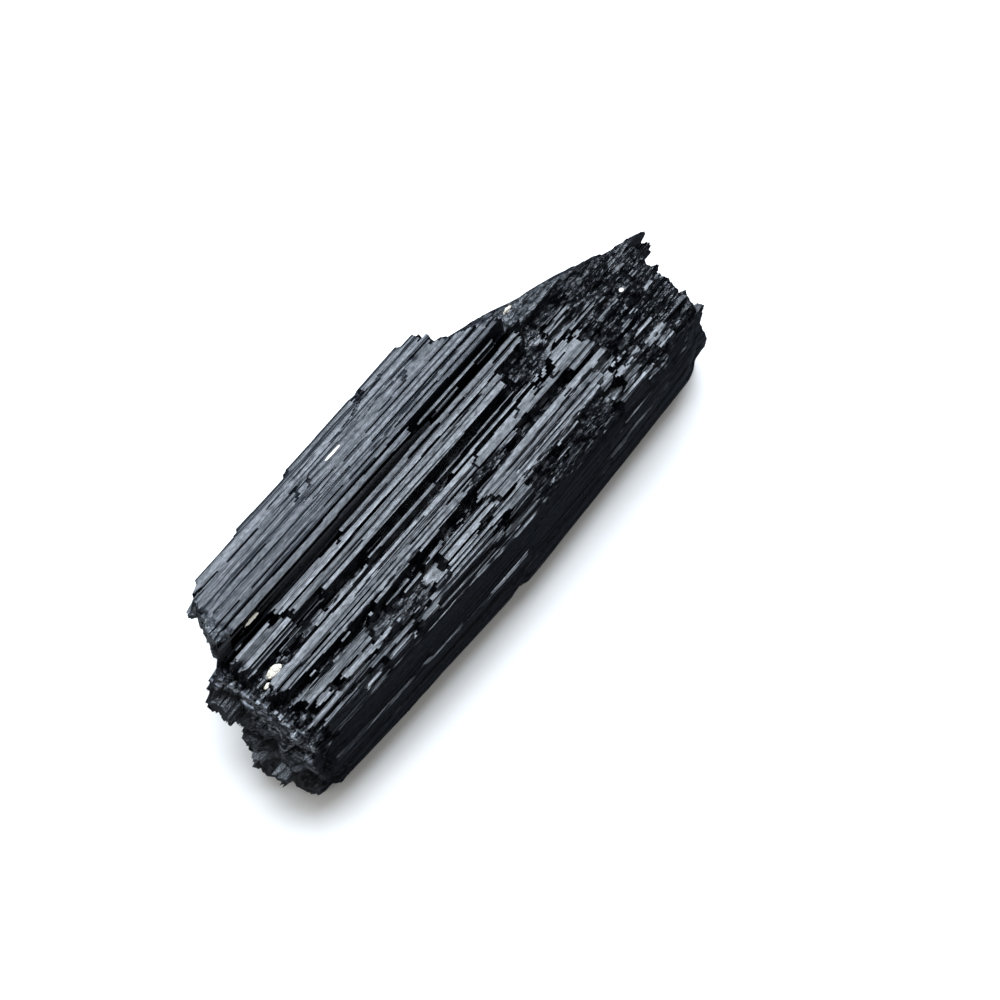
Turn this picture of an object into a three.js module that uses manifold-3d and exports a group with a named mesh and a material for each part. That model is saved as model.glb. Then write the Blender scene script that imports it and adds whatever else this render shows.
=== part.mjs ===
// A black tourmaline crystal lying on one of its prism faces, with two grains of feldspar in a groove.
// Millimetres, +Z up, +X along the crystal from its near broken end to its far one, +Y to the left of that.
// The crystal grew as a sheaf of thin columns side by side, so it is built as one: a core with a straight
// bar for each column that stands out of it, all joined in one solid. The tops of the bars make the
// striated faces, their ends the ledges and the broken ends, and the gaps between them the grooves.
// The sheaf is put together square, and its corners are then moved to the crystal's real section.
import * as THREE from 'three';
import { mergeVertices } from 'three/addons/utils/BufferGeometryUtils.js';
import Module from 'manifold-3d';

const wasm = await Module();
wasm.setup();

// The core of the sheaf, before it is shaped
const NEAR_END = -36.4;
const FAR_END = 35.4;
const SET_BACK = { left: 4.6, end: -31.9 };   // left of this, the near end is here instead
const RIGHT = -10.6;
const LEFT = 12.8;
const GROOVE_FLOOR = 14.8;

// The section: how far the sides reach to the right and to the left at each height
const SECTION = [
  { z: 0, right: -10.9, left: 5.2 },
  { z: 4.4, right: -12.6, left: 9.4 },
  { z: 8, right: -12.5, left: 12.1 },
  { z: 12.4, right: -11.4, left: 13.3 },
  { z: GROOVE_FLOOR, right: RIGHT, left: LEFT },
];

// The slab along the left of the top: where it starts, how high it is there, and its fall to the left
const SLAB = { right: 4.6, height: 18.4, fall: 0.2 };

// Every size in the sheaf is a multiple of this
const STEP = 0.1;

// Feldspar grains in the second groove: middle, size, and the clearance round them
const GRAIN = { x: -32.7, y: -1.5, z: 16.3, long: 2.3, wide: 1.2, high: 1.3 };
const CHIP = { x: -34.5, y: -2, z: 16.2, long: 1.1, wide: 0.5, high: 0.6 };
const CLEARANCE = 0.3;

const BLACK = new THREE.MeshStandardMaterial({ color: 0x15171b, roughness: 0.35, metalness: 0 });
const CREAM = new THREE.MeshStandardMaterial({ color: 0xe4d8c0, roughness: 0.7, metalness: 0 });

// Variation that is the same on every run
let state = 7;
function random() {
  state = (state + 0x6d2b79f5) | 0;
  let t = Math.imul(state ^ (state >>> 15), 1 | state);
  t = (t + Math.imul(t ^ (t >>> 7), 61 | t)) ^ t;
  return ((t ^ (t >>> 14)) >>> 0) / 4294967296;
}
const between = (low, high) => low + (high - low) * random();
const stray = (most) => between(-most, most);
const stepped = (size) => Math.round(size / STEP) * STEP;

// A closed three.js geometry as a solid that can be joined and cut, its corners moved by place if given
function solidOf(geometry, place) {
  geometry.deleteAttribute('normal');
  geometry.deleteAttribute('uv');
  const merged = mergeVertices(geometry, 1e-4);
  const corners = merged.getAttribute('position');
  const point = new THREE.Vector3();
  for (let i = 0; place && i < corners.count; i += 1) {
    place(point.fromBufferAttribute(corners, i));
    corners.setXYZ(i, point.x, point.y, point.z);
  }
  return new wasm.Manifold(new wasm.Mesh({
    numProp: 3,
    vertProperties: corners.array,
    triVerts: new Uint32Array(merged.index.array),
  }));
}

function geometryOf(solid) {
  const mesh = solid.getMesh();
  const geometry = new THREE.BufferGeometry();
  geometry.setAttribute('position', new THREE.BufferAttribute(mesh.vertProperties, 3));
  geometry.setIndex(new THREE.BufferAttribute(mesh.triVerts, 1));
  return geometry;
}

// One straight column, or the space of one, from near to far, right to left and floor to height
function column(near, far, right, left, height, floor = GROOVE_FLOOR - 1) {
  const low = [near, right, floor].map(stepped);
  const high = [far, left, height].map(stepped);
  const box = new THREE.BoxGeometry(1, 1, 1);
  return solidOf(box, (p) => p.set(...p.toArray().map((side, i) => (side > 0 ? high[i] : low[i]))));
}

// The top of the crystal, column by column: near end, far end, right side, left side, height
const BAND_BY_THE_SLAB = [
  [-35.4, -28.4, 1.8, 2.7, 17.3],
  [-28, -16.1, 2.4, 3.3, 16.8],
  [-33.9, -18.9, 3.3, 3.6, 16.7],
  [-31.2, -28.3, 4.3, 4.8, 17.1],
  [-27.2, 17.5, 1.8, 2.4, 17.7],
  [-16.2, 18.2, 2.4, 3, 17.5],
  [-15.1, 19.2, 3.1, 3.8, 17.3],
  [1.2, 15.5, 4.7, 5.1, 17.9],
  [2.9, 8.3, 4.2, 4.6, 17.2],
  [7.2, 20, 4.5, 4.8, 16.9],
  [-26.3, 12.5, 0.6, 1.6, 18],
  [-22.3, 11.9, -0.2, 0.6, 17.85],
  [-35.4, -25.6, 0.7, 1.8, 17.1],
  [-35.1, -21.4, 0, 0.8, 16.7],
];
const SECOND_GROOVE = [
  [-25.8, -11.8, -0.4, -0.1, 16.5],
  [-16, -3, -1.2, -0.8, 16.9],
  [-3.2, 14.2, -1, -0.7, 16.4],
  [-1.9, 13.7, -1.9, -1.5, 16.7],
  [-30.4, -25.6, -0.9, -0.1, 15.9],
  [-28.1, -24.3, -1.6, -0.8, 15.7],
];
const MIDDLE_BAND = [
  [-34.9, 1.7, -3.1, -2.3, 17.2],
  [-35.5, 1.4, -3.8, -3.1, 17.4],
  [-34.8, 1.8, -4.9, -3.9, 17.6],
  [1.5, 4.9, -5.1, -3.8, 17.2],
  [4.4, 8.1, -4.5, -3.8, 17.45],
  [1.2, 10.2, -3.6, -2.4, 16.9],
  [9.9, 14.1, -3.1, -2.2, 16.6],
  [10, 17.6, -4, -3.2, 17.1],
  [14.2, 15.9, -1.9, -1.3, 15.9],
  [14.3, 15.4, -2.9, -2.3, 16.3],
  [15.3, 16.4, -2.4, -1.7, 16.6],
  [15.6, 16.9, -3.2, -2.6, 16.1],
  [-31, -29.9, -5.1, -4.6, 16.9],
  [-19.3, -12.9, -5.1, -4.7, 16.8],
  [-11.1, -10.1, -5.1, -4.6, 17.5],
];
const RIGHT_BAND_NEAR = [
  [-34.6, -22.2, -6.8, -6, 17],
  [-34, -22.7, -7.6, -6.7, 16.8],
  [-36.9, -35.4, -7.5, -5.9, 16.2],
  [-33, -30.2, -8.5, -7.6, 16.5],
  [-29.1, -23.5, -8.7, -7.7, 16.6],
  [-23.7, -15.9, -9, -8.1, 16.6],
  [-18, -14.7, -10.6, -9.5, 16.4],
  [-34.1, -27.3, -10.8, -9.9, 16.1],
  [-23.7, -19.7, -10.7, -9.9, 16.2],
  [-35.6, -25, -9.5, -8.6, 15.8],
  [-25.2, -17.6, -9.8, -8.8, 15.9],
];
const RIGHT_BAND_FAR = [
  [-11.2, -7.9, -6.2, -5.6, 16.6],
  [-10.4, 13.1, -6.9, -6.3, 16.8],
  [-10.4, 0.2, -7.8, -6.8, 16.5],
  [-13.6, -10.8, -8.9, -8.1, 16.6],
  [-11, 3.5, -8.9, -8, 16.9],
  [-1.1, 4.1, -9.8, -8.8, 16.7],
  [-15, -1.6, -9.3, -8.9, 16.4],
  [-15.1, -4.5, -10, -9.2, 16.2],
  [-4.5, -2.3, -10.2, -9.5, 16],
  [-2.1, 22.7, -6.2, -5.3, 17.4],
  [-0.9, 20.6, -7, -6.2, 17.3],
  [-0.4, 19.9, -7.7, -6.9, 17.15],
  [2, 18.6, -8.5, -7.7, 17],
  [17.1, 21.1, -2.4, -1.4, 17.5],
  [16.9, 22.3, -3.5, -2.3, 17.4],
  [17.7, 23, -4.8, -3.5, 17.25],
  [3.9, 18.7, -9, -8, 15.7],
  [4.8, 12.2, -10.8, -10.3, 15.9],
];
const CROWN = [
  [21.5, 26.7, 1.6, 2.1, 16.2],
  [20.4, 25.6, 1, 1.5, 16],
  [20.7, 25.6, 0.5, 1, 15.8],
  [20.9, 27, -0.7, -0.2, 16.2],
  [21.8, 27.8, -1.3, -0.8, 16],
  [27.5, 30.6, -1.1, -0.4, 16.4],
  [22.6, 27.1, -2, -1.4, 15.9],
  [23, 30, -3.4, -2.8, 16.3],
  [25.3, 30.8, -4.5, -3.8, 16],
  [32.6, 34.8, -4.8, -4.1, 15.9],
  [23.9, 29.9, -5.9, -5.1, 16.1],
  [24.8, 30.6, -6.9, -6.3, 15.8],
  [22.9, 25.3, -8, -7, 16.2],
  [21.7, 23.9, -9.3, -8.3, 16.3],
  [23.8, 26.2, -9.3, -8.6, 16],
  [26.4, 30.8, -10.9, -9.1, 15.9],
  [19.2, 27.3, -11.6, -10.6, 15.5],
  [24.1, 28, -12.1, -11.3, 14.9],
  [28.6, 31.4, -12.1, -11, 14.5],
  [30.4, 34.4, 0.8, 1.9, 15.8],
  [29.3, 33.9, 1.6, 2.3, 16.1],
  [31.5, 35.7, -0.5, 0.7, 15.6],
  [31.2, 36.8, -2.8, -1.7, 15.3],
  [32, 35.6, -7.1, -6, 15.4],
  [31, 35.4, -9, -7.6, 15.2],
];

// The slab's columns: near end, far end, right side, left side, height above or below its own plane
const SLAB_COLUMNS = [
  [-34.7, 0, 4.6, 5.6, -0.05],
  [-34.4, 18, 5.8, 6.5, 0],
  [-34.1, 18.4, 6.6, 7.6, -0.08],
  [-33.8, 15.7, 7.7, 8.3, -0.16],
  [-33.2, 14.6, 8.3, 9, 0],
  [-32.6, 13.6, 9.1, 10, -0.1],
  [-32.2, 12.6, 10, 11.2, 0.02],
  [-31.4, 12, 11.3, 12, -0.12],
  [-29.8, 11.2, 12, 12.7, 0],
  [-22.1, 10.5, 12.8, 13.4, -0.15],
  [-12.5, 8.1, 13.4, 14, -0.1],
  [-3.7, 5.9, 14.1, 14.5, -0.4],
  [-2.3, 7.3, 10, 11.3, 0.17],
];

function topColumns() {
  const level = [BAND_BY_THE_SLAB, SECOND_GROOVE, MIDDLE_BAND, RIGHT_BAND_NEAR, RIGHT_BAND_FAR, CROWN];
  const slab = SLAB_COLUMNS.map(([near, far, right, left, above]) => (
    [near, far, right, left, SLAB.height + above]
  ));
  return [...level.flat(), ...slab].map((bar) => column(...bar));
}

// The columns that show along a side: row by row up it, each row broken into lengths
function sideColumns({ outward, near, far, thinnest, thickest, proud }) {
  const bars = [];
  let z = 0.3;
  while (z < GROOVE_FLOOR - thinnest) {
    const top = Math.min(z + between(thinnest, thickest), GROOVE_FLOOR - STEP);
    let start = near + between(0.5, 3);
    while (start < far - 5) {
      const end = Math.min(start + between(10, 48), far - between(0.5, 3));
      const out = between(STEP, proud);
      const [right, left] = outward > 0 ? [LEFT - 1, LEFT + out] : [RIGHT - out, RIGHT + 1];
      bars.push(column(start, end, right, left, top, z));
      start = end + between(-1, 4);
    }
    z = top + between(0, 0.4);
  }
  return bars;
}

// Shallow grooves along the face that the crystal rests on
function restingGrooves() {
  const grooves = [];
  for (let y = RIGHT + 1.5; y < LEFT - 1.5; y += between(2.4, 4.2)) {
    const start = between(-30, -8);
    grooves.push(column(start, start + between(16, 38), y, y + between(0.4, 1), between(0.2, 0.5), -1));
  }
  return grooves;
}

// A broken end: row by row over part of the section, each column snapped at its own length
function brokenEnd(face, outward, right, left, lengthAt) {
  const bars = [];
  let z = STEP;
  while (z < GROOVE_FLOOR - 0.6) {
    const top = z + between(1, 2.4);
    let from = right + 0.2;
    while (from < left - 0.8) {
      const to = Math.min(from + between(0.9, 3), left - 0.2);
      const length = lengthAt((from + to) / 2, (z + top) / 2);
      if (length > STEP) {
        const ends = [face - outward * 1.5, face + outward * length];
        bars.push(column(Math.min(...ends), Math.max(...ends), from, to, top, z));
      }
      from = to;
    }
    z = top;
  }
  return bars;
}

// The near end bulges at the middle of its height, most of all near the top on the left
function nearEnd() {
  const main = brokenEnd(NEAR_END, -1, RIGHT, SET_BACK.left, (y, z) => {
    const knob = y > 0.5 && z > 9 && z < 13 ? Math.min(3.2, z - 8.6) : 0;
    const low = z > 1 && z < 10;
    const belly = low && y > -8 && y < 0 ? 3.9 : 1.6;
    return Math.max(knob, belly * between(0, 1));
  });
  const underSlab = brokenEnd(SET_BACK.end, -1, SET_BACK.left, LEFT, (y, z) => (
    z > 8 && y < 9 ? between(0.3, 1.3) : 0
  ));
  return [...main, ...underSlab];
}

// The far end has a tongue near the top on the left that reaches furthest
function farEnd() {
  return brokenEnd(FAR_END, 1, RIGHT, LEFT, (y, z) => {
    const tongue = z > 9 && y > -0.4 && y < 3.4 ? 5.6 : 0;
    const shoulder = z > 3 && z < 10 && y < -5 ? 3.4 : 0.9;
    return Math.max(tongue, shoulder) * between(0.3, 1);
  });
}

// Small snapped columns crowded over a stretch, standing on its floor or, as spaces, hanging from its top
function crumbs({ x, y, z, count, long = [0.6, 2.4], wide = [0.4, 1.1] }) {
  return Array.from({ length: count }, () => {
    const near = between(...x);
    const right = between(...y);
    return [near, near + between(...long), right, right + between(...wide), between(...z)];
  });
}

function standingCrumbs() {
  const zones = [
    { x: [-37.4, -35.6], y: [-10, 3], z: [15, 16.6], count: 22 },
    { x: [-38.4, -36.6], y: [0.4, 3], z: [13.5, 15.6], count: 7 },
    { x: [-33.8, -32.2], y: [5, 11.6], z: [15.6, 17.6], count: 10 },
    { x: [-35, -24], y: [-2, -0.6], z: [15.1, 15.9], count: 10 },
    { x: [-34, 8], y: [-6, -4.9], z: [15, 16.4], count: 24, wide: [0.3, 0.6] },
    { x: [-21, -14], y: [-8.4, -6], z: [15, 15.9], count: 9 },
    { x: [13, 18], y: [-1, 1.4], z: [15.4, 16.6], count: 9 },
    { x: [4, 17], y: [-11, -9], z: [15, 15.7], count: 16 },
    { x: [24, 34.6], y: [-10.4, 1.2], z: [15, 16.3], count: 56 },
    { x: [30, 35.6], y: [-10.4, 0.6], z: [14.9, 15.7], count: 26, long: [0.6, 1.6] },
  ];
  return zones.flatMap(crumbs).map((bar) => column(...bar));
}

// Torn places: a space over the whole stretch and a ragged row of smaller ones round its edge
function torn(near, far, right, left, floor, ragged = 0.7) {
  const spaces = [column(near, far, right, left, SLAB.height + 1, floor)];
  for (let x = near - ragged; x < far; x += between(0.8, 1.8)) {
    for (const edge of [right, left]) {
      const out = between(0.2, ragged);
      const to = x + between(0.8, 1.8);
      spaces.push(column(x, to, edge - out, edge + out, SLAB.height + 1, floor + between(0.1, 1)));
    }
  }
  return spaces;
}

function tornPlaces() {
  return [
    ...torn(-21.8, -13.6, -8.2, -6.1, 15),
    ...torn(18.4, 26.4, 2.7, 4.2, 13.4, 0.4),
    ...torn(13, 19, -0.9, 1.6, 15.2),
    ...torn(18.8, 21.4, -10.4, -8.8, 13.6, 0.3),
    ...torn(-2.6, -1.2, -10.6, -9.2, 15, 0.2),
    ...torn(-14.2, -12, 9.9, 11.2, 17.7, 0.3),
    ...torn(-0.4, 0.3, 13, 14.4, 15.6, 0.2),
    ...torn(-4.1, -2.4, -8.1, -7.6, 15.4, 0.2),
  ];
}

// Voids where columns were pulled out of the near end, and its left corner, where they ended sooner
function endVoids() {
  return [
    column(-36, -31.4, 10.2, 11.4, 13.5, 2),
    column(-36, -30.9, 11.2, 14, SLAB.height + 1, 2),
    column(-36, -29.8, 12.2, 14, SLAB.height + 1, 1),
    column(-41, -36, -5, -2.4, 10.6, 7.4),
    column(-41, -36.2, 0, 3.6, 6, 3.6),
    column(-41, -36.1, -9, -6.6, 6.8, 4),
  ];
}

// Part of the core, drawn as its section in Y Z and run along X
function core(near, right, left) {
  const outline = new THREE.Shape();
  outline.moveTo(right, 0);
  outline.lineTo(left, 0);
  outline.lineTo(left, GROOVE_FLOOR);
  outline.lineTo(right, GROOVE_FLOOR);
  const run = new THREE.ExtrudeGeometry(outline, { depth: FAR_END - near, bevelEnabled: false });
  return solidOf(run, (p) => p.set(p.z + near, p.x, p.y));
}

// The square sheaf
function sheaf() {
  const bars = [
    core(SET_BACK.end, SET_BACK.left - 1, LEFT),
    ...topColumns(),
    ...standingCrumbs(),
    ...sideColumns({ outward: -1, near: NEAR_END, far: FAR_END, thinnest: 0.9, thickest: 1.8, proud: 0.9 }),
    ...sideColumns({ outward: 1, near: SET_BACK.end, far: FAR_END, thinnest: 1.2, thickest: 2.6, proud: 0.9 }),
    ...nearEnd(),
    ...farEnd(),
  ];
  const spaces = [...tornPlaces(), ...endVoids(), ...restingGrooves()];
  const grown = bars.reduce((whole, bar) => whole.add(bar), core(NEAR_END, RIGHT, SET_BACK.left));
  return spaces.reduce((whole, space) => whole.subtract(space), grown);
}

const mix = (from, to, share) => from + (to - from) * share;
const share = (value, from, to) => THREE.MathUtils.clamp((value - from) / (to - from), 0, 1);

// Moves a corner of the square sheaf to its place in the real crystal
function shape(p) {
  const upper = Math.max(1, SECTION.findIndex(({ z }) => z >= p.z));
  const [below, above] = p.z < GROOVE_FLOOR ? SECTION.slice(upper - 1, upper + 1) : SECTION.slice(-2);
  const up = share(p.z, below.z, above.z);
  const right = mix(below.right, above.right, up);
  const left = mix(below.left, above.left, up);
  const across = (p.y - RIGHT) / (LEFT - RIGHT);
  const onSlab = share(p.z, GROOVE_FLOOR, SLAB.height) * Math.max(0, p.y - SLAB.right);
  const bow = (1 - (p.x / 30) ** 2) * share(p.y, 0, RIGHT) * share(p.z, 0, 2);
  const height = p.z > 1 ? stray(0.03) : 0;
  p.set(
    p.x + 0.3 * Math.sin(2.3 * p.y + 1.1 * p.z) + 0.2 * Math.sin(5.1 * p.y - 2.4 * p.z),
    mix(right, left, across) - bow + 0.12 * Math.sin(p.x / 7 + p.z / 3) + stray(0.03),
    p.z - SLAB.fall * onSlab + height,
  );
}

// Only the main body of a solid, without loose crumbs or closed pockets
function mainBody(solid) {
  return solid.decompose().reduce((best, piece) => (piece.volume() > best.volume() ? piece : best));
}

// The scarp: the slanting break that takes the left of the far end
function scarp() {
  const block = new THREE.BoxGeometry(40, 14, 30, 11, 4, 9);
  return solidOf(block, (p) => p.add(new THREE.Vector3(stray(0.4), stray(0.4), stray(0.4))))
    .rotate([28, 0, 0]).rotate([0, 0, -20]).translate([33.4, 13, 12.2]);
}

// A feldspar grain: a rough lump, longer along X
function grain({ x, y, z, long, wide, high }, extra = 0) {
  const lump = solidOf(new THREE.DodecahedronGeometry(0.54, 0));
  return lump.scale([long + extra, wide + extra, high + extra]).rotate([6, 0, 8]).translate([x, y, z]);
}

function crystal() {
  const grown = solidOf(geometryOf(mainBody(sheaf())), shape);
  const sockets = [grain(GRAIN, 2 * CLEARANCE), grain(CHIP, 2 * CLEARANCE)];
  const cut = [scarp(), ...sockets].reduce((whole, space) => whole.subtract(space), grown);
  return mainBody(cut);
}

function named(name, solid, material, place) {
  const node = new THREE.Mesh(geometryOf(solid), material);
  node.name = name;
  node.position.copy(place);
  return node;
}

// The origin is the middle of the crystal's box, at the face that it rests on
const body = crystal();
const { min, max } = body.boundingBox();
const place = new THREE.Vector3(-(min[0] + max[0]) / 2, -(min[1] + max[1]) / 2, -min[2]);

const specimen = new THREE.Group();
specimen.add(named('crystal', body, BLACK, place));
specimen.add(named('feldspar_grain', grain(GRAIN), CREAM, place));
specimen.add(named('feldspar_chip', grain(CHIP), CREAM, place));

export default specimen;
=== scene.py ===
from math import cos, radians, sin

import bpy
import numpy as np
from mathutils import Matrix, Vector
from mathutils.bvhtree import BVHTree


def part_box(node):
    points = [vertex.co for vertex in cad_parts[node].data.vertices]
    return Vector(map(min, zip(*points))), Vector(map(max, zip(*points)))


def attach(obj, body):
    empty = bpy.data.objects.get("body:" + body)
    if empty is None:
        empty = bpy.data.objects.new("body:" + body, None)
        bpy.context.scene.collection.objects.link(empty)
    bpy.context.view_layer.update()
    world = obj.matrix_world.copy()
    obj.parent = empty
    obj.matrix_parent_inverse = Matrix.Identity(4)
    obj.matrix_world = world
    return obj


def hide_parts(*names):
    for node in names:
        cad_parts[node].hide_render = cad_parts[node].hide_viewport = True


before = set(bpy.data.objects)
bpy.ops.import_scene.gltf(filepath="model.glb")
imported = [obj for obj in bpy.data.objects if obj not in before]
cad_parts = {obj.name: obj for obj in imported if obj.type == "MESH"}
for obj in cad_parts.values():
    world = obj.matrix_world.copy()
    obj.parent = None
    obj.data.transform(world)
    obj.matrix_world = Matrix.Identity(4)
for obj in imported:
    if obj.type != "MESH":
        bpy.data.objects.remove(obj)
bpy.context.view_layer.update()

# The view: a camera with a long lens that looks down on the crystal along the line of sight of the
# photograph. It is set to the right of the place it is aimed at and above it, for the photograph's frame.
MM = 0.001
VIEW_ELEVATION = radians(64.4)
CRYSTAL_ANGLE = radians(38.1)
VIEW_DISTANCE = 330 * MM
AIMED_AT = Vector((-2.93, -3.17, 9.0)) * MM
AIM_RIGHT = 5.70 * MM
AIM_UP = 2.26 * MM
LENS = 100
SENSOR_WIDTH = 36

backward = Vector((
    -cos(VIEW_ELEVATION) * cos(CRYSTAL_ANGLE),
    -cos(VIEW_ELEVATION) * sin(CRYSTAL_ANGLE),
    sin(VIEW_ELEVATION),
))
rightward = Vector((sin(CRYSTAL_ANGLE), -cos(CRYSTAL_ANGLE), 0))
upward = backward.cross(rightward)
viewpoint = AIMED_AT + rightward * AIM_RIGHT + upward * AIM_UP + backward * VIEW_DISTANCE
bpy.ops.object.camera_add(location=viewpoint)
camera = bpy.context.object
camera.name = "camera"
camera.rotation_euler = Matrix((rightward, upward, backward)).transposed().to_euler()
camera.data.lens = LENS
camera.data.sensor_width = SENSOR_WIDTH
camera.data.clip_start = 0.01
bpy.context.scene.camera = camera


# The floor: one plain sheet of pale, matt paper under the crystal, far wider than it. What the crystal
# mirrors of it is darker than what the camera sees of it.
FLOOR_SIDE = 3000 * MM
FLOOR_DROP = 0.02 * MM
FLOOR_COLOUR = (0.90, 0.87, 0.82, 1)
FLOOR_MIRRORED = (0.045, 0.048, 0.055, 1)

bpy.ops.mesh.primitive_plane_add(size=FLOOR_SIDE, location=(0, 0, -FLOOR_DROP))
floor = bpy.context.object
floor.name = "floor"
paper = bpy.data.materials.new("pale_floor")
paper.use_nodes = True
shader = paper.node_tree.nodes["Principled BSDF"]
shader.inputs["Roughness"].default_value = 0.9
shader.inputs["Specular IOR Level"].default_value = 0.1
ray = paper.node_tree.nodes.new("ShaderNodeLightPath")
seen = paper.node_tree.nodes.new("ShaderNodeMix")
seen.data_type = "RGBA"
seen.inputs["A"].default_value = FLOOR_COLOUR
seen.inputs["B"].default_value = FLOOR_MIRRORED
paper.node_tree.links.new(ray.outputs["Is Glossy Ray"], seen.inputs["Factor"])
paper.node_tree.links.new(seen.outputs["Result"], shader.inputs["Base Color"])
floor.data.materials.append(paper)


# The light: a large soft box opposite the camera, whose mirror image lies along the top of the crystal,
# a weaker one low on the left, and an even, dim surround.
LIT_FROM = 700 * MM
LIT_PLACE = Vector((0, 0, 9)) * MM


def soft_box(name, toward, side, power, tint):
    bpy.ops.object.light_add(type="AREA", location=LIT_PLACE + Vector(toward).normalized() * LIT_FROM)
    light = bpy.context.object
    light.name = name
    light.data.shape = "DISK"
    light.data.size = side
    light.data.energy = power
    light.data.color = tint
    light.rotation_euler = Vector(toward).to_track_quat("Z", "Y").to_euler()


soft_box("window", toward=(0.34, 0.34, 0.88), side=800 * MM, power=13.5, tint=(0.77, 0.87, 1.0))
soft_box("side", toward=(-0.9, 0.25, 0.55), side=300 * MM, power=0.65, tint=(0.88, 0.94, 1.0))

surround = bpy.data.worlds.new("surround")
bpy.context.scene.world = surround
surround.use_nodes = True
sky = surround.node_tree.nodes["Background"]
ray = surround.node_tree.nodes.new("ShaderNodeLightPath")
level = surround.node_tree.nodes.new("ShaderNodeMapRange")
level.inputs["To Min"].default_value = 0.50
level.inputs["To Max"].default_value = 0.05
sky.inputs["Color"].default_value = (0.95, 0.97, 1.0, 1)
surround.node_tree.links.new(ray.outputs["Is Glossy Ray"], level.inputs["Value"])
surround.node_tree.links.new(level.outputs["Result"], sky.inputs["Strength"])
bpy.context.scene.view_settings.view_transform = "Standard"


# The crystal: black tourmaline that grew as a sheaf of thin columns, striated along its length and broken
# across at both ends. It is modelled from one sheet wrapped round it and gathered at both ends. The sheet
# is laid on the solid, and the finer columns, splits and crumbs are then raised and sunk from there.

# The section that the sheet hangs from, outside the crystal, and the one inside it that each row is
# aimed at: under it, up the left side, over the top and down the right side, as right or left and height
ROW_STARTS = [(-11.4, -1.5), (5.8, -1.5), (14.2, 7.2), (15.6, 12.6), (15.4, 17.0),
              (13.0, 19.6), (-10.7, 19.6), (-13.6, 17.0), (-15.4, 10.0), (-16.4, 4.4)]
ROW_AIMS = [(-10.0, 1.2), (4.8, 1.2), (11.0, 8.6), (12.0, 12.2), (12.2, 13.4),
            (12.2, 14.0), (-10.1, 14.0), (-10.3, 13.2), (-11.0, 9.8), (-11.4, 4.6)]
ROWS_BETWEEN = [30, 40, 20, 22, 20, 190, 26, 40, 32, 26]
ROWS = sum(ROWS_BETWEEN)
OUTSIDE = 14.0

# Rings of points in each broken end, and points along each row in its near, middle and far part
CAP_RINGS = 20
NEAR_POINTS, MIDDLE_POINTS, FAR_POINTS = 24, 88, 62
MIDDLE_STARTS, MIDDLE_ENDS = -30.0, 14.0
CAP_MIDDLE = np.array((0.5, 7.6))
RIM_INSET = 0.15
BEYOND_ENDS = 60.0

# The ragged breaks: how far, how wide and how long the columns are that a break runs along, and a seed
RAGGED = [(1.0, 0.34, 9, 3), (0.6, 0.9, 5, 4)]

# The crumbs: how high, how long and how wide, and a seed, on the top and on the broken ends
TOP_CRUMBS = [(0.55, 1.1, 0.75, 41), (0.28, 0.6, 0.42, 44)]
END_CRUMBS = [(1.0, 1.0, 0.9, 51), (0.5, 0.55, 0.5, 54)]

# Where the top is crumbly, torn out or weathered: near and far, then right and left
CRUMBLY = [(-22.6, -13.2, -9.2, -5.6), (3.4, 18.4, -12.4, -8.8), (12.6, 19.4, -1.4, 2.0),
           (18.2, 26.4, 2.2, 4.8), (24.0, 42.0, -14.0, 3.0), (21.0, 42.0, 2.0, 14.0),
           (-42.0, -34.8, -14.0, 4.6), (-30.6, -9.6, -6.2, -5.0), (-2.6, 5.4, -5.4, -4.4),
           (-36.0, -32.6, 4.4, 13.5), (-32.2, -26.0, -2.2, -0.5),
           (17.4, 21.5, 4.4, 9.0)]

# The slab along the left side: its right edge, and where its weathered near end and far end begin. The
# channel beside it lies from right to left between these, lower than the tops
SLAB_RIGHT = 5.0
SLAB_NEAR = -32.4
SLAB_FAR = 17.6
CHANNEL_RIGHT, CHANNEL_LEFT = 2.5, 5.55
CHANNEL_TOP = 16.9

# Flecks in the surface, partly cream feldspar and partly painted glints: middle, and half the length, width
# and height of the space they fill
FLECKS_AND_PAINTED_GLINTS = [((-7.9, 10.65, 17.2), (1.5, 0.16, 0.8)), ((-29.7, 4.45, 16.9), (1.3, 0.17, 0.6)),
          ((27.3, -11.9, 12.0), (0.7, 0.7, 0.6)), ((31.4, -2.1, 15.5), (0.35, 0.3, 2.0)),
          ((21.0, 7.2, 16.0), (0.9, 0.28, 3.0))]

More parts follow.
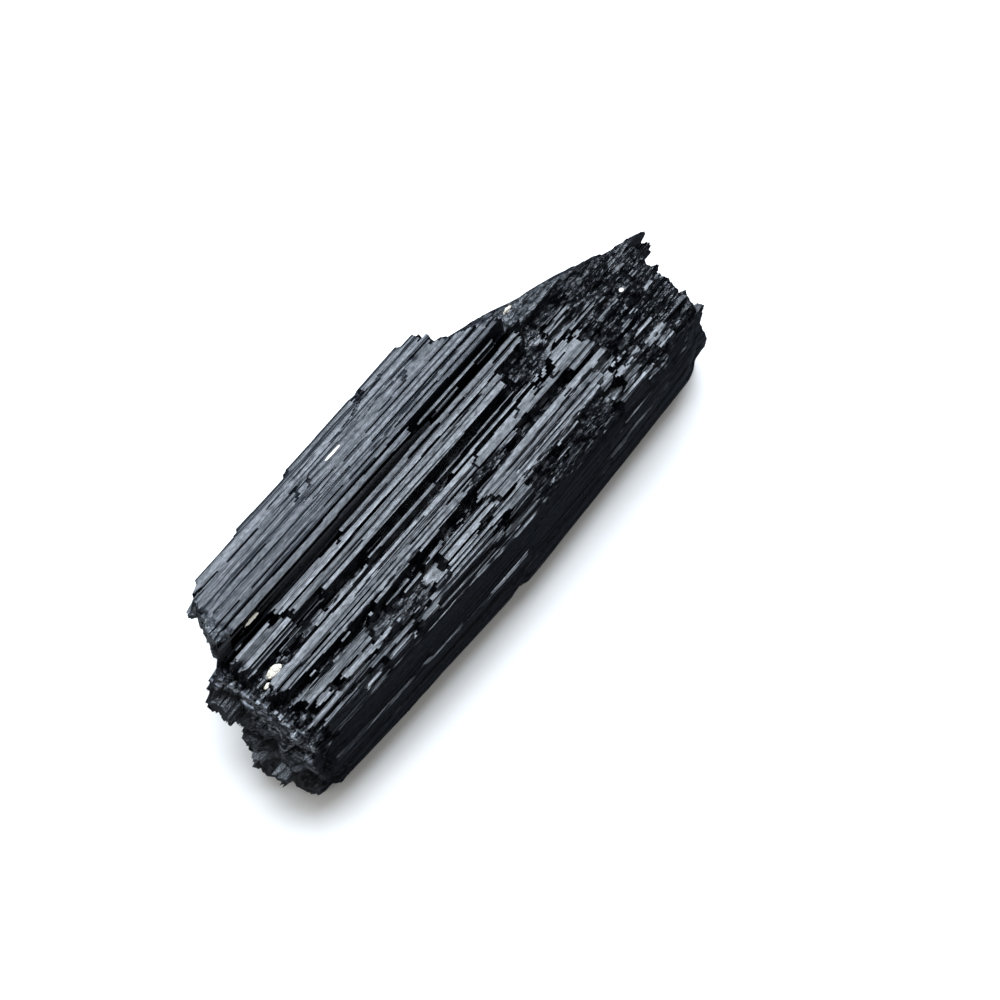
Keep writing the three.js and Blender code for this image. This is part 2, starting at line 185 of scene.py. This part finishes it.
# Splits and cracks that show on the top: from and to as along and across, half their width, their depth
SPLITS = [
    ((-32, 11.1), (-14, 11.1), 0.13, 0.16), ((-32, 8.1), (-12, 8.25), 0.15, 0.18),
    ((-13.6, 8.45), (-10, 8.5), 0.12, 0.14), ((-7.8, 8.8), (-3.8, 8.85), 0.13, 0.2),
    ((-4.5, 7.1), (4, 7.4), 0.14, 0.22), ((4, 7.4), (18.4, 7.85), 0.18, 0.35),
    ((-31, 6.05), (-6, 6.05), 0.12, 0.16), ((-18, 9.3), (-10, 9.3), 0.12, 0.1),
    ((-7.2, 11.8), (-2.2, 12.1), 0.13, 0.16), ((-2.2, 12.1), (-0.5, 12.7), 0.13, 0.3),
    ((-0.5, 12.7), (0.3, 13.7), 0.25, 0.4), ((0.4, 12.6), (3, 12.7), 0.16, 0.35),
    ((3, 12.7), (4.4, 13.3), 0.16, 0.3), ((3.2, 11.65), (11.2, 11.7), 0.12, 0.14),
    ((-2.2, 10.8), (0.8, 11.1), 0.12, 0.1), ((0.8, 11.1), (5.7, 10.8), 0.13, 0.16),
    ((5.7, 10.8), (4.6, 9.9), 0.2, 0.3), ((4.6, 9.9), (-0.6, 9.7), 0.13, 0.12),
    ((7.8, 10.5), (8.0, 11.3), 0.2, 0.25), ((-18, 12.1), (-9, 12.3), 0.12, 0.1),
    ((-20, 1.6), (-7.4, 1.8), 0.12, 0.2), ((-15.2, 3.05), (-7.2, 3.05), 0.12, 0.2),
    ((0, 1.15), (10.4, 1.6), 0.12, 0.12), ((-24, 0.8), (-6, 0.9), 0.12, 0.1),
    ((-20, -3.0), (-8, -2.9), 0.12, 0.2), ((-11, -3.6), (1, -3.5), 0.12, 0.14),
    ((-31, -3.9), (-14, -3.8), 0.12, 0.14), ((-2, -6.2), (8, -5.6), 0.13, 0.2),
    ((8, -5.6), (21, -5.3), 0.13, 0.2), ((2, -7.0), (19.6, -6.5), 0.13, 0.22),
    ((4, -7.8), (18, -7.4), 0.13, 0.2),
]

# Single columns that still stand in the torn and crumbly places: from and to as along and across, half
# their width and how far they rise above the mean of what lies round them
LEFT_STANDING = [
    ((-19.8, -5.45), (-13.0, -5.32), 0.24, 1.3), ((-21.2, -5.65), (-20.0, -5.65), 0.22, 1.3),
    ((-31.3, -5.25), (-29.7, -5.25), 0.18, 1.0), ((-26.0, -5.4), (-23.8, -5.3), 0.20, 1.1),
    ((-12.0, -5.5), (-7.5, -5.35), 0.22, 1.2), ((-4.0, -5.1), (-1.0, -4.95), 0.20, 1.0),
    ((-31.2, 4.4), (-28.2, 4.4), 0.25, 0.3), ((-25.8, -1.5), (-15.6, -1.25), 0.20, 0.9),
    ((-18.8, -6.2), (-14.0, -6.15), 0.18, 0.8), ((-16.2, -6.8), (-12.6, -6.7), 0.20, 0.8),
    ((-23.4, -8.4), (-18.6, -8.65), 0.28, 0.8),
    ((7.5, -10.2), (11.5, -10.1), 0.18, 0.5), ((9.0, -9.3), (13.8, -9.2), 0.16, 0.5),
    ((4.5, -11.3), (8.0, -11.2), 0.16, 0.5), ((22.0, -0.2), (28.0, -0.45), 0.24, 0.45),
    ((22.5, -0.9), (27.5, -1.0), 0.20, 0.45), ((28.0, -0.9), (30.6, -0.9), 0.28, 0.5),
    ((23.0, -2.9), (30.0, -2.7), 0.20, 0.5), ((27.5, -5.3), (30.5, -5.3), 0.34, 0.45),
    ((26.0, -5.9), (28.2, -5.8), 0.20, 0.45), ((26.4, -7.4), (30.6, -7.4), 0.24, 0.5),
    ((26.8, -9.2), (30.8, -9.1), 0.50, 0.45), ((27.4, -10.5), (30.6, -10.45), 0.40, 0.45),
    ((24.0, -8.8), (26.3, -8.7), 0.28, 0.5), ((22.0, -7.7), (23.8, -7.7), 0.24, 0.45),
    ((32.7, -4.5), (34.6, -4.5), 0.20, 0.45), ((33.3, -2.0), (34.6, -2.0), 0.34, 0.45),
    ((21.5, 2.3), (26.5, 2.2), 0.18, 0.45), ((22.5, 1.4), (25.5, 1.3), 0.22, 0.45),
]

# Columns within columns: width, length, rise, slant, the share left unsplit and a seed, and how deep and
# how wide the splits between them are
FINER_COLUMNS = [(1.5, 60, 0.05, 0.10, 0.62, 11), (0.7, 40, 0.02, 0.03, 0.84, 21)]
SPLIT_DEPTH, SPLIT_WIDTH = 0.2, 0.12


def scatter(i, j, seed):
    """A repeatable random share for each pair of whole numbers."""
    value = np.sin(i * 127.1 + j * 311.7 + seed * 74.7) * 43758.5453
    return value - np.floor(value)


def drift(u, v, seed):
    """A smooth random share that wanders over u and v."""
    i, j = np.floor(u), np.floor(v)
    fu, fv = u - i, v - j
    fu, fv = fu * fu * (3 - 2 * fu), fv * fv * (3 - 2 * fv)
    low = scatter(i, j, seed) * (1 - fu) + scatter(i + 1, j, seed) * fu
    high = scatter(i, j + 1, seed) * (1 - fu) + scatter(i + 1, j + 1, seed) * fu
    return low * (1 - fv) + high * fv


def columns(across, along, width, length, seed):
    """Height, lean and distance from the edge for thin columns of uneven width and length."""
    lane = across / width + 1.1 * drift(across / width * 0.6, across * 0, seed)
    number = np.floor(lane)
    inside = lane - number
    run = along / length + 9 * scatter(number, 0, seed)
    piece = np.floor(run + 0.7 * drift(run, number, seed + 1))
    height = scatter(number, piece, seed + 2) - 0.5
    lean = (scatter(number, piece, seed + 3) - 0.5) * (inside - 0.5)
    split = scatter(number, piece, seed + 4)
    edge = np.minimum(inside, 1 - inside) * width
    return height, lean, split, edge


def facets(u, v, seed):
    """Height over a field of small broken faces, each at its own level and slant."""
    u, v = u + 0.8 * drift(v, u, seed), v + 0.8 * drift(u, v, seed + 1)
    i, j = np.floor(u), np.floor(v)
    level = scatter(i, j, seed) - 0.5
    slant_u, slant_v = scatter(i, j, seed + 1) - 0.5, scatter(i, j, seed + 2) - 0.5
    return level + slant_u * (u - i - 0.5) + slant_v * (v - j - 0.5)


def between(low, high, value):
    """0 at low, 1 at high and a smooth passage from one to the other."""
    share = np.clip((value - low) / (high - low), 0, 1)
    return share * share * (3 - 2 * share)


def around(corners, turn):
    """The point at each turn, counted in rows, round a section given by its corners."""
    at = np.concatenate([[0], np.cumsum(ROWS_BETWEEN)])
    closed = np.array(corners + corners[:1])
    return np.stack([np.interp(turn % ROWS, at, closed[:, c]) for c in (0, 1)], -1)


def even_out(values, reach, axis):
    """The mean of each value and its neighbours within reach along an axis."""
    pad = [(0, 0)] * values.ndim
    pad[axis] = (reach, reach)
    padded = np.pad(values, pad, mode="edge")
    shifted = [np.take(padded, range(i, i + values.shape[axis]), axis) for i in range(2 * reach + 1)]
    return np.mean(shifted, 0)


def level_out(values, reach, axis, step):
    """The mean of each value and those neighbours that lie less than a step from it."""
    pad = [(0, 0)] * values.ndim
    pad[axis] = (reach, reach)
    padded = np.pad(values, pad, mode="edge")
    total, count = np.zeros(values.shape), np.zeros(values.shape)
    for i in range(2 * reach + 1):
        near_by = np.take(padded, range(i, i + values.shape[axis]), axis)
        level = np.abs(near_by - values) < step
        total += np.where(level, near_by, 0)
        count += level
    return total / count


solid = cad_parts["crystal"]
tree = BVHTree.FromPolygons(
    [v.co / MM for v in solid.data.vertices], [tuple(p.vertices) for p in solid.data.polygons])


def touch(origins, ways, furthest):
    """How far each ray goes before it meets the solid, or NaN where it misses."""
    found = np.full(origins.shape[:-1], np.nan)
    for at in np.ndindex(found.shape):
        hit = tree.ray_cast(Vector(origins[at]), Vector(ways[at]), furthest)
        if hit[0] is not None:
            found[at] = hit[3]
    return found


# Each row runs to where the solid ends along it
rows = np.arange(ROWS + 1)
aims, starts = around(ROW_AIMS, rows), around(ROW_STARTS, rows)


def row_ends(side):
    """Where each row meets the near end (side -1) or the far end (side 1) of the solid."""
    origins = np.column_stack([np.full(ROWS + 1, side * BEYOND_ENDS), aims])
    ways = np.tile([-side, 0.0, 0.0], (ROWS + 1, 1))
    return even_out(side * (BEYOND_ENDS - touch(origins, ways, 2 * BEYOND_ENDS)), 3, 0)


near_end, far_end = row_ends(-1) + RIM_INSET, row_ends(1) - RIM_INSET
near_way = np.linspace(0, 1, NEAR_POINTS, endpoint=False) ** 1.6
x = np.concatenate([
    near_end[:, None] + (MIDDLE_STARTS - near_end[:, None]) * near_way,
    np.tile(np.linspace(MIDDLE_STARTS, MIDDLE_ENDS, MIDDLE_POINTS, endpoint=False), (ROWS + 1, 1)),
    MIDDLE_ENDS + (far_end[:, None] - MIDDLE_ENDS) * np.linspace(0, 1, FAR_POINTS),
], axis=1)
girth = np.concatenate([[0], np.cumsum(np.linalg.norm(np.diff(starts, axis=0), axis=1))])
girth = np.tile(girth[:, None], (1, x.shape[1]))

# The solid is read a little before or after each point's own place, column by column, so that what is a
# straight break in the solid is a ragged one here
ragged = np.zeros(x.shape)
for reach, width, length, seed in RAGGED:
    ragged += reach * (scatter(np.floor(girth / width), np.floor(x / length), seed) - 0.5)
ragged *= between(near_end[:, None] + 0.2, near_end[:, None] + 1.6, x)
ragged *= between(far_end[:, None] - 0.2, far_end[:, None] - 1.6, x)
turn = rows[:, None] + (drift(x / 6, girth / 1.3, 5) - 0.5) * 1.4
aim, start = around(ROW_AIMS, turn), around(ROW_STARTS, turn)
out = start - aim
out /= np.linalg.norm(out, axis=-1, keepdims=True)
out = np.concatenate([np.zeros(x.shape + (1,)), out], -1)
origin = np.concatenate([(x + ragged)[..., None], aim], -1) + out * OUTSIDE
height = OUTSIDE - touch(origin, -out, OUTSIDE + 5)
halfway = x.shape[1] // 2
for i in range(halfway, x.shape[1]):
    height[:, i] = np.where(np.isnan(height[:, i]), height[:, i - 1], height[:, i])
for i in range(halfway, -1, -1):
    height[:, i] = np.where(np.isnan(height[:, i]), height[:, i + 1], height[:, i])

# The tops of the columns are level, and the steps of the crown run together into a slope
height = level_out(level_out(height, 4, 1, 0.25), 3, 0, 0.25)
crown = between(21.5, 25.5, x)
height += 0.6 * crown * (even_out(height, 4, 1) - height)

own_out = np.column_stack([np.zeros(ROWS + 1), starts - aims])
own_out /= np.linalg.norm(own_out, axis=-1, keepdims=True)

# The columns along the sides are shallower than those of the top
side = between(0.65, 0.35, np.abs(own_out[:, 2]))[:, None]
height += 0.65 * side * (even_out(height, 6, 0) - height)

base = np.concatenate([x[..., None], np.broadcast_to(aims[:, None], x.shape + (2,))], -1)
laid = base + own_out[:, None] * height[..., None]
across = laid[..., 1]
top = between(0.5, 0.95, own_out[:, 2])[:, None]

crumbly = np.zeros(x.shape)
for near, far, right, left in CRUMBLY:
    inside = between(near - 0.6, near + 0.6, x) * between(far + 0.6, far - 0.6, x)
    inside *= between(right - 0.3, right + 0.3, across) * between(left + 0.3, left - 0.3, across)
    crumbly = np.maximum(crumbly, inside * top)
sunk = between(0.5, 1.5, even_out(laid[..., 2], 12, 0) - laid[..., 2]) * top
crumbly = np.clip(crumbly + 0.7 * sunk, 0, 1)

# The channel beside the slab is marked for painted shade: a darker colour and no shine stand in for the shade
# that falls in it. The slab is dusty where it weathered at its ends
lowest = np.min([np.roll(laid[..., 2], by, 0) for by in (-1, 0, 1)], 0)
channel_painted_shade = top * between(CHANNEL_RIGHT - 0.3, CHANNEL_RIGHT + 0.3, across)
channel_painted_shade *= between(CHANNEL_LEFT + 0.15, CHANNEL_LEFT - 0.15, across)
channel_painted_shade *= between(CHANNEL_TOP, CHANNEL_TOP - 0.5, lowest) * between(19, 17, x)
slab = between(SLAB_RIGHT - 0.3, SLAB_RIGHT + 0.3, across) * top * (1 - channel_painted_shade)
past_near, past_far = between(SLAB_NEAR, SLAB_NEAR - 1, x), between(SLAB_FAR, SLAB_FAR + 2, x)
dusty = slab * np.maximum(0.65 * past_far, past_near)
slab *= 1 - np.maximum(past_far, past_near)

# Along the top of the near end the columns are frayed into strands that lie along the break
frayed = top * between(-35.9, -36.9, x) * between(4.9, 4.3, across)
height += frayed * 0.35 * (drift(x / 0.35 + 0.5 * drift(across / 1.5, x * 0, 91), across / 2.8, 92) - 0.5)
crumbly *= 1 - frayed

# Finer columns are raised, slanted and split from each other, less so on the slab, and then come the
# splits and cracks one by one, and the crumbs
calm = 1 - 0.4 * slab
for width, length, rise, slant, unsplit, seed in FINER_COLUMNS:
    wavering = girth + 0.05 * drift(x / 6, girth / 4, seed)
    raised, lean, split, edge = columns(wavering, x, width, length, seed)
    height += calm * (rise * raised + slant * lean)
    height -= calm * between(unsplit, unsplit + 0.15, split) * SPLIT_DEPTH * between(SPLIT_WIDTH, 0.0, edge)
for (x_from, y_from), (x_to, y_to), half_width, deep in SPLITS:
    run = np.array((x_to - x_from, y_to - y_from))
    offset = np.stack([x - x_from, across - y_from], -1)
    at = np.clip(offset @ run / (run @ run), 0, 1)
    waver = 0.05 * (drift(x / 2.5, x * 0 + deep * 9, 71) - 0.5)
    apart = np.linalg.norm(offset - at[..., None] * run, axis=-1)
    height -= top * deep * between(half_width, 0, apart + waver)
height += crumbly * sum(rise * facets(x / length, girth / width, seed)
                        for rise, length, width, seed in TOP_CRUMBS)
laid = base + own_out[:, None] * height[..., None]

# The single columns have level tops, and nothing reaches below the face that the crystal rests on
surface = even_out(even_out(laid[..., 2], 7, 0), 2, 1)
for (x_from, y_from), (x_to, y_to), half_width, rise in LEFT_STANDING:
    middle = np.interp(x, (x_from, x_to), (y_from, y_to))
    inside = between(x_from - 0.1, x_from + 0.1, x) * between(x_to + 0.1, x_to - 0.1, x)
    inside *= top * between(half_width + 0.08, half_width, np.abs(laid[..., 1] - middle))
    along = (inside * surface).sum(0) / np.maximum(inside.sum(0), 0.01)
    level = 0.6 * (inside * surface).sum() / inside.sum() + 0.4 * along + rise
    laid[..., 2] += inside * np.maximum(level - laid[..., 2], 0)
    crumbly *= 1 - inside
laid[..., 2] = np.maximum(laid[..., 2], 0)


def broken_end(side, rim):
    """Rings of points across a broken end, from its rim to its middle."""
    share = (np.arange(CAP_RINGS) / (CAP_RINGS - 1)) ** 1.25
    inset = rim[:, 1:] - CAP_MIDDLE
    length = np.linalg.norm(inset, axis=1, keepdims=True)
    inset *= (length - RIM_INSET) / length
    flat = CAP_MIDDLE + inset * (1 - share[:, None, None])
    origins = np.concatenate([np.full(flat.shape[:2] + (1,), side * BEYOND_ENDS), flat], -1)
    ways = np.broadcast_to((-side, 0.0, 0.0), origins.shape)
    at = side * (BEYOND_ENDS - touch(origins, ways, 2 * BEYOND_ENDS))
    for ring in range(CAP_RINGS):
        at[ring] = np.where(np.isnan(at[ring]), at[ring - 1] if ring else rim[:, 0], at[ring])
    y, z = flat[..., 0], flat[..., 1]
    blocks = sum(rise * facets(y / length, z / width, seed) for rise, length, width, seed in END_CRUMBS)
    strands = drift(y / 2.6, (z + 0.4 * y) / 0.36, 55) - 0.5
    frayed = between(0.5, 0.25, share)[:, None] * between(-1, -3, y) * between(9, 11, z) * (side < 0)
    at += side * (0.7 * blocks + frayed * (0.5 * strands - 0.7 * blocks)) * between(0, 0.25, share)[:, None]
    at[-1] = at[-1].mean()
    dusty = (0.3 + 0.7 * between(4.0, 5.0, y)) * (side < 0)
    return np.concatenate([at[..., None], flat], -1).transpose(1, 0, 2), frayed.T, dusty.T


# The whole sheet, from the middle of the near end to that of the far end, and what its points are marked as
near_cap, near_frayed, near_dusty = broken_end(-1, laid[:, 0])
far_cap, far_frayed, far_dusty = broken_end(1, laid[:, -1])
sheet = np.concatenate([near_cap[:, ::-1], laid, far_cap], axis=1)
sheet[-1] = sheet[0]
all_over, nowhere = np.ones((ROWS + 1, CAP_RINGS)), np.zeros((ROWS + 1, CAP_RINGS))
marks = {
    "crumbly": np.concatenate([all_over, crumbly, all_over], 1),
    "channel_painted_shade": np.concatenate([nowhere, channel_painted_shade, nowhere], 1),
    "slab": np.concatenate([nowhere, slab, nowhere], 1),
    "dusty": np.concatenate([near_dusty[:, ::-1], dusty, far_dusty], 1),
    "frayed": np.concatenate([near_frayed[:, ::-1], frayed, far_frayed], 1),
}
STEPS = sheet.shape[1] - 1

# A flat grid is laid on those points, closed along its seam and at both middles. Wrapped this way its faces
# point inwards, so they are turned
bpy.ops.object.select_all(action="DESELECT")
bpy.ops.mesh.primitive_grid_add(x_subdivisions=STEPS, y_subdivisions=ROWS, size=2)
crystal = bpy.context.object
crystal.name = "tourmaline"
flat = np.empty(len(crystal.data.vertices) * 3, np.float32)
crystal.data.vertices.foreach_get("co", flat)
step = np.round((flat[0::3] + 1) / 2 * STEPS).astype(int)
row = np.round((flat[1::3] + 1) / 2 * ROWS).astype(int)
crystal.data.vertices.foreach_set("co", (sheet[row, step] * MM).astype(np.float32).ravel())
for name, values in marks.items():
    bpy.ops.geometry.attribute_add(name=name, domain="POINT", data_type="FLOAT")
    crystal.data.attributes[name].data.foreach_set("value", values[row, step].astype(np.float32))
crystal.data.update()
bpy.ops.object.mode_set(mode="EDIT")
bpy.ops.mesh.select_all(action="SELECT")
bpy.ops.mesh.remove_doubles(threshold=0.001 * MM)
bpy.ops.mesh.flip_normals()
bpy.ops.object.mode_set(mode="OBJECT")
bpy.ops.object.shade_smooth_by_angle(angle=radians(26))


def add_node(material, kind, settings=(), **inputs):
    """Adds a shader node, with its settings, and its inputs given as values or as outputs to join."""
    node = material.node_tree.nodes.new("ShaderNode" + kind)
    for name, value in settings:
        setattr(node, name, value)
    for name, value in inputs.items():
        socket = node.inputs[name.replace("_", " ")]
        if isinstance(value, bpy.types.NodeSocket):
            material.node_tree.links.new(value, socket)
        else:
            socket.default_value = value
    return node


def reckon(material, operation, *values):
    """The result of a sum on values or on outputs to join."""
    node = add_node(material, "Math", [("operation", operation)])
    for socket, value in zip(node.inputs, values):
        if isinstance(value, bpy.types.NodeSocket):
            material.node_tree.links.new(value, socket)
        else:
            socket.default_value = value
    return node.outputs[0]


black = bpy.data.materials.new("black_tourmaline")
black.use_nodes = True
place = add_node(black, "TexCoord").outputs["Object"]
mark = {name: add_node(black, "Attribute", [("attribute_name", name)]).outputs["Fac"] for name in marks}

# How far apart the striae are and half their width, and how much of their ground the finest keep
COARSE_STRIAE = (0.70 * MM, 0.09 * MM, 0.0)
FINE_STRIAE = (0.26 * MM, 0.05 * MM, 0.3)


def furrows(apart, half_width, darkest):
    """Thin lines at uneven distances along the crystal that fade in and out, both grooves and painted shade
    in them, and the columns between.
    """
    turned = add_node(black, "Mapping", Vector=place, Rotation=(radians(-40), 0, 0),
                      Scale=(1, 1 / apart, 1 / apart)).outputs[0]
    across = add_node(black, "SeparateXYZ", Vector=turned).outputs["Y"]
    slowly = add_node(black, "Mapping", Vector=place, Scale=(40, 0.4 / apart, 0.4 / apart)).outputs[0]
    wander = add_node(black, "TexNoise", Vector=slowly, Scale=1.0, Detail=1.0).outputs[0]
    lane = reckon(black, "MULTIPLY_ADD", wander, 1.2, across)
    edge = add_node(black, "TexVoronoi", [("voronoi_dimensions", "1D"), ("feature", "DISTANCE_TO_EDGE")],
                    W=lane, Scale=1.0).outputs[0]
    depth = add_node(black, "MapRange", Value=wander, From_Min=0.40, From_Max=0.60, To_Min=darkest).outputs[0]
    line = add_node(black, "MapRange", Value=edge, From_Min=0.2 * half_width / apart,
                    From_Max=half_width / apart, To_Min=depth).outputs[0]
    column = add_node(black, "TexVoronoi", [("voronoi_dimensions", "1D")], W=lane, Scale=1.0).outputs["Color"]
    own = add_node(black, "SeparateColor", Color=column).outputs[0]
    return line, own


# Striae, fine scratches between them, the grain of the crumbly places and broad patches of wear
coarse_striae, coarse_own = furrows(*COARSE_STRIAE)
fine_striae, fine_own = furrows(*FINE_STRIAE)
finely = add_node(black, "Mapping", Vector=place, Scale=(150, 11000, 11000)).outputs[0]
scratches = add_node(black, "TexNoise", Vector=finely, Scale=1.0, Detail=2.0).outputs[0]
grain = add_node(black, "TexNoise", Vector=place, Scale=2400.0, Detail=3.0, Roughness=0.6).outputs[0]
patches = add_node(black, "Mapping", Vector=place, Scale=(120, 800, 800)).outputs[0]
wear = add_node(black, "TexNoise", Vector=patches, Scale=1.0, Detail=4.0).outputs[0]

# The polish: glassy, duller where it is worn and on the slab
gloss = add_node(black, "MapRange", Value=wear, From_Min=0.3, From_Max=0.7,
                 To_Min=0.20, To_Max=0.36).outputs[0]
slab_gloss = reckon(black, "MULTIPLY_ADD", mark["slab"], 0.10, gloss)
shader = black.node_tree.nodes["Principled BSDF"]
shader.inputs["IOR"].default_value = 1.64
shader.inputs["Specular IOR Level"].default_value = 0.40
black.node_tree.links.new(slab_gloss, shader.inputs["Roughness"])

# The shine: mottled, with a strength of its own on each column, and taken out as painted shade in the striae
# and in the channel
mottles = add_node(black, "Mapping", Vector=place, Scale=(1100, 3200, 3200)).outputs[0]
mottled = add_node(black, "TexNoise", Vector=mottles, Scale=1.0, Detail=3.0, Roughness=0.7).outputs[0]
brightest = add_node(black, "MapRange", Value=mottled, From_Min=0.34, From_Max=0.66,
                     To_Min=0.22, To_Max=0.72).outputs[0]
coarse_shine = add_node(black, "MapRange", Value=coarse_striae, To_Min=0.15, To_Max=1.0).outputs[0]
fine_shine = add_node(black, "MapRange", Value=fine_striae, To_Min=0.25, To_Max=brightest).outputs[0]
coarse_own = add_node(black, "MapRange", Value=coarse_own, To_Min=0.72, To_Max=1.30).outputs[0]
fine_own = add_node(black, "MapRange", Value=fine_own, To_Min=0.70, To_Max=1.12).outputs[0]
in_the_open = add_node(black, "MapRange", Value=mark["channel_painted_shade"], To_Min=1.0, To_Max=0.0).outputs[0]
shine = reckon(black, "MULTIPLY", coarse_shine, fine_shine)
own_shine = reckon(black, "MULTIPLY", coarse_own, fine_own)
shine = reckon(black, "MULTIPLY", own_shine, shine)
shine = reckon(black, "MULTIPLY", shine, in_the_open)
black.node_tree.links.new(shine, shader.inputs["Specular IOR Level"])


def blend(material, share, one, other):
    """A colour that goes from one to the other with share."""
    mix = add_node(material, "Mix", [("data_type", "RGBA")])
    for socket, value in ((mix.inputs["Factor"], share), (mix.inputs["A"], one), (mix.inputs["B"], other)):
        if isinstance(value, bpy.types.NodeSocket):
            material.node_tree.links.new(value, socket)
        else:
            socket.default_value = value
    return mix.outputs["Result"]


# The colour: black, darker in the channel as painted shade, with grey dust, light strands along the near rim
# and cream flecks, partly painted glints
colour = blend(black, mark["channel_painted_shade"], (0.003, 0.0035, 0.005, 1), (0.001, 0.0012, 0.0016, 1))
colour = blend(black, mark["slab"], colour, (0.010, 0.012, 0.016, 1))
speckled = blend(black, grain, (0.016, 0.018, 0.022, 1), (0.115, 0.122, 0.130, 1))
colour = blend(black, mark["dusty"], colour, speckled)
across_rim = add_node(black, "Mapping", Vector=place, Scale=(2600, 330, 2600)).outputs[0]
strand = add_node(black, "TexNoise", Vector=across_rim, Scale=1.0, Detail=2.0).outputs[0]
strand_share = add_node(black, "MapRange", Value=strand, From_Min=0.46, From_Max=0.66).outputs[0]
strands = blend(black, strand_share, (0.005, 0.006, 0.008, 1), (0.21, 0.22, 0.24, 1))
colour = blend(black, mark["frayed"], colour, strands)
# Cream spots, partly flecks of feldspar and partly painted glints that stand in for light caught on the
# surface
for middle, half in FLECKS_AND_PAINTED_GLINTS:
    within = add_node(black, "Mapping", [("vector_type", "TEXTURE")], Vector=place,
                      Location=Vector(middle) * MM, Scale=Vector(half) * MM).outputs[0]
    reach = add_node(black, "VectorMath", [("operation", "LENGTH")], Vector=within).outputs["Value"]
    edge = reckon(black, "MULTIPLY_ADD", grain, 0.8, reach)
    fleck_and_glint = add_node(black, "MapRange", Value=edge, From_Min=1.35, From_Max=1.25).outputs[0]
    colour = blend(black, fleck_and_glint, colour, (0.78, 0.72, 0.60, 1))
black.node_tree.links.new(colour, shader.inputs["Base Color"])

# The relief too fine for the mesh: crumbs and scratches, then the striae, each as deep as given and in the
# strength given
crumbs = add_node(black, "Bump", Distance=0.16 * MM, Height=grain, Strength=mark["crumbly"]).outputs[0]
scratched = add_node(black, "Bump", Distance=0.01 * MM, Height=scratches, Strength=0.8,
                     Normal=crumbs).outputs[0]
finely_grooved = add_node(black, "Bump", Distance=0.02 * MM, Height=fine_striae, Strength=0.8,
                          Normal=scratched).outputs[0]
grooved = add_node(black, "Bump", Distance=0.06 * MM, Height=coarse_striae, Strength=0.9,
                   Normal=finely_grooved).outputs[0]
black.node_tree.links.new(grooved, shader.inputs["Normal"])
crystal.data.materials.append(black)

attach(crystal, "root")
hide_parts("crystal")


# The feldspar: two cream grains that grew in the second groove by the near end, broken along their
# cleavage. Each starts as a ball the size of its socket, with the steps of the cleavage cut into it.
def lay_grain(name, seed):
    low, high = (np.array(corner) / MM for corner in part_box(name))
    bpy.ops.object.select_all(action="DESELECT")
    bpy.ops.mesh.primitive_ico_sphere_add(subdivisions=5, radius=1)
    piece = bpy.context.object
    piece.name = name + "_cleaved"
    points = np.empty(len(piece.data.vertices) * 3, np.float32)
    piece.data.vertices.foreach_get("co", points)
    ball = points.reshape(-1, 3).astype(float)
    slope = ball @ np.array([(0.9, 0.3, 0.3), (-0.4, 0.9, 0.1), (-0.1, -0.2, 1.0)]).T
    steps = np.sign(slope) * np.minimum(np.abs(slope), 0.62 + 0.25 * scatter(np.sign(slope), seed, 61))
    lump = ball * (0.55 + 0.45 * np.linalg.norm(steps, axis=1, keepdims=True))
    ridge = np.floor((ball[:, 2] + 0.5 * ball[:, 1]) * 4 + seed)
    ridge += 0.3 * drift(ball[:, 0] * 3, ball[:, 1] * 3, seed)
    lump *= (1 - 0.14 * scatter(np.floor(ridge), 0, seed))[:, None]
    lump *= (0.95 + 0.10 * drift(ball[:, 0] * 6 + 9, ball[:, 1] * 6 + ball[:, 2] * 4, seed + 1))[:, None]
    lump -= (lump.min(0) + lump.max(0)) / 2
    lump *= (high - low) / (lump.max(0) - lump.min(0)) * 0.99
    lump += (low + high) / 2
    piece.data.vertices.foreach_set("co", (lump * MM).astype(np.float32).ravel())
    piece.data.update()
    bpy.ops.object.shade_smooth_by_angle(angle=radians(28))
    piece.data.materials.append(cream)
    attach(piece, "root")
    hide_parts(name)


cream = bpy.data.materials.new("cream_feldspar")
cream.use_nodes = True
place = add_node(cream, "TexCoord").outputs["Object"]
stain = add_node(cream, "TexNoise", Vector=place, Scale=1700.0, Detail=4.0, Roughness=0.65).outputs[0]
cracks = add_node(cream, "TexVoronoi", [("feature", "DISTANCE_TO_EDGE")], Vector=place,
                  Scale=1900.0).outputs[0]
stained = add_node(cream, "MapRange", Value=stain, From_Min=0.48, From_Max=0.66).outputs[0]
cracked = add_node(cream, "MapRange", Value=cracks, From_Max=0.07, To_Min=1.0, To_Max=0.0).outputs[0]
colour = blend(cream, stained, (0.80, 0.74, 0.62, 1), (0.42, 0.33, 0.22, 1))
colour = blend(cream, cracked, colour, (0.16, 0.12, 0.09, 1))
shader = cream.node_tree.nodes["Principled BSDF"]
shader.inputs["Roughness"].default_value = 0.55
cream.node_tree.links.new(colour, shader.inputs["Base Color"])
rough = add_node(cream, "Bump", Distance=0.08 * MM, Height=stain, Strength=0.8).outputs[0]
cream.node_tree.links.new(rough, shader.inputs["Normal"])
lay_grain("feldspar_grain", 3)
lay_grain("feldspar_chip", 8)
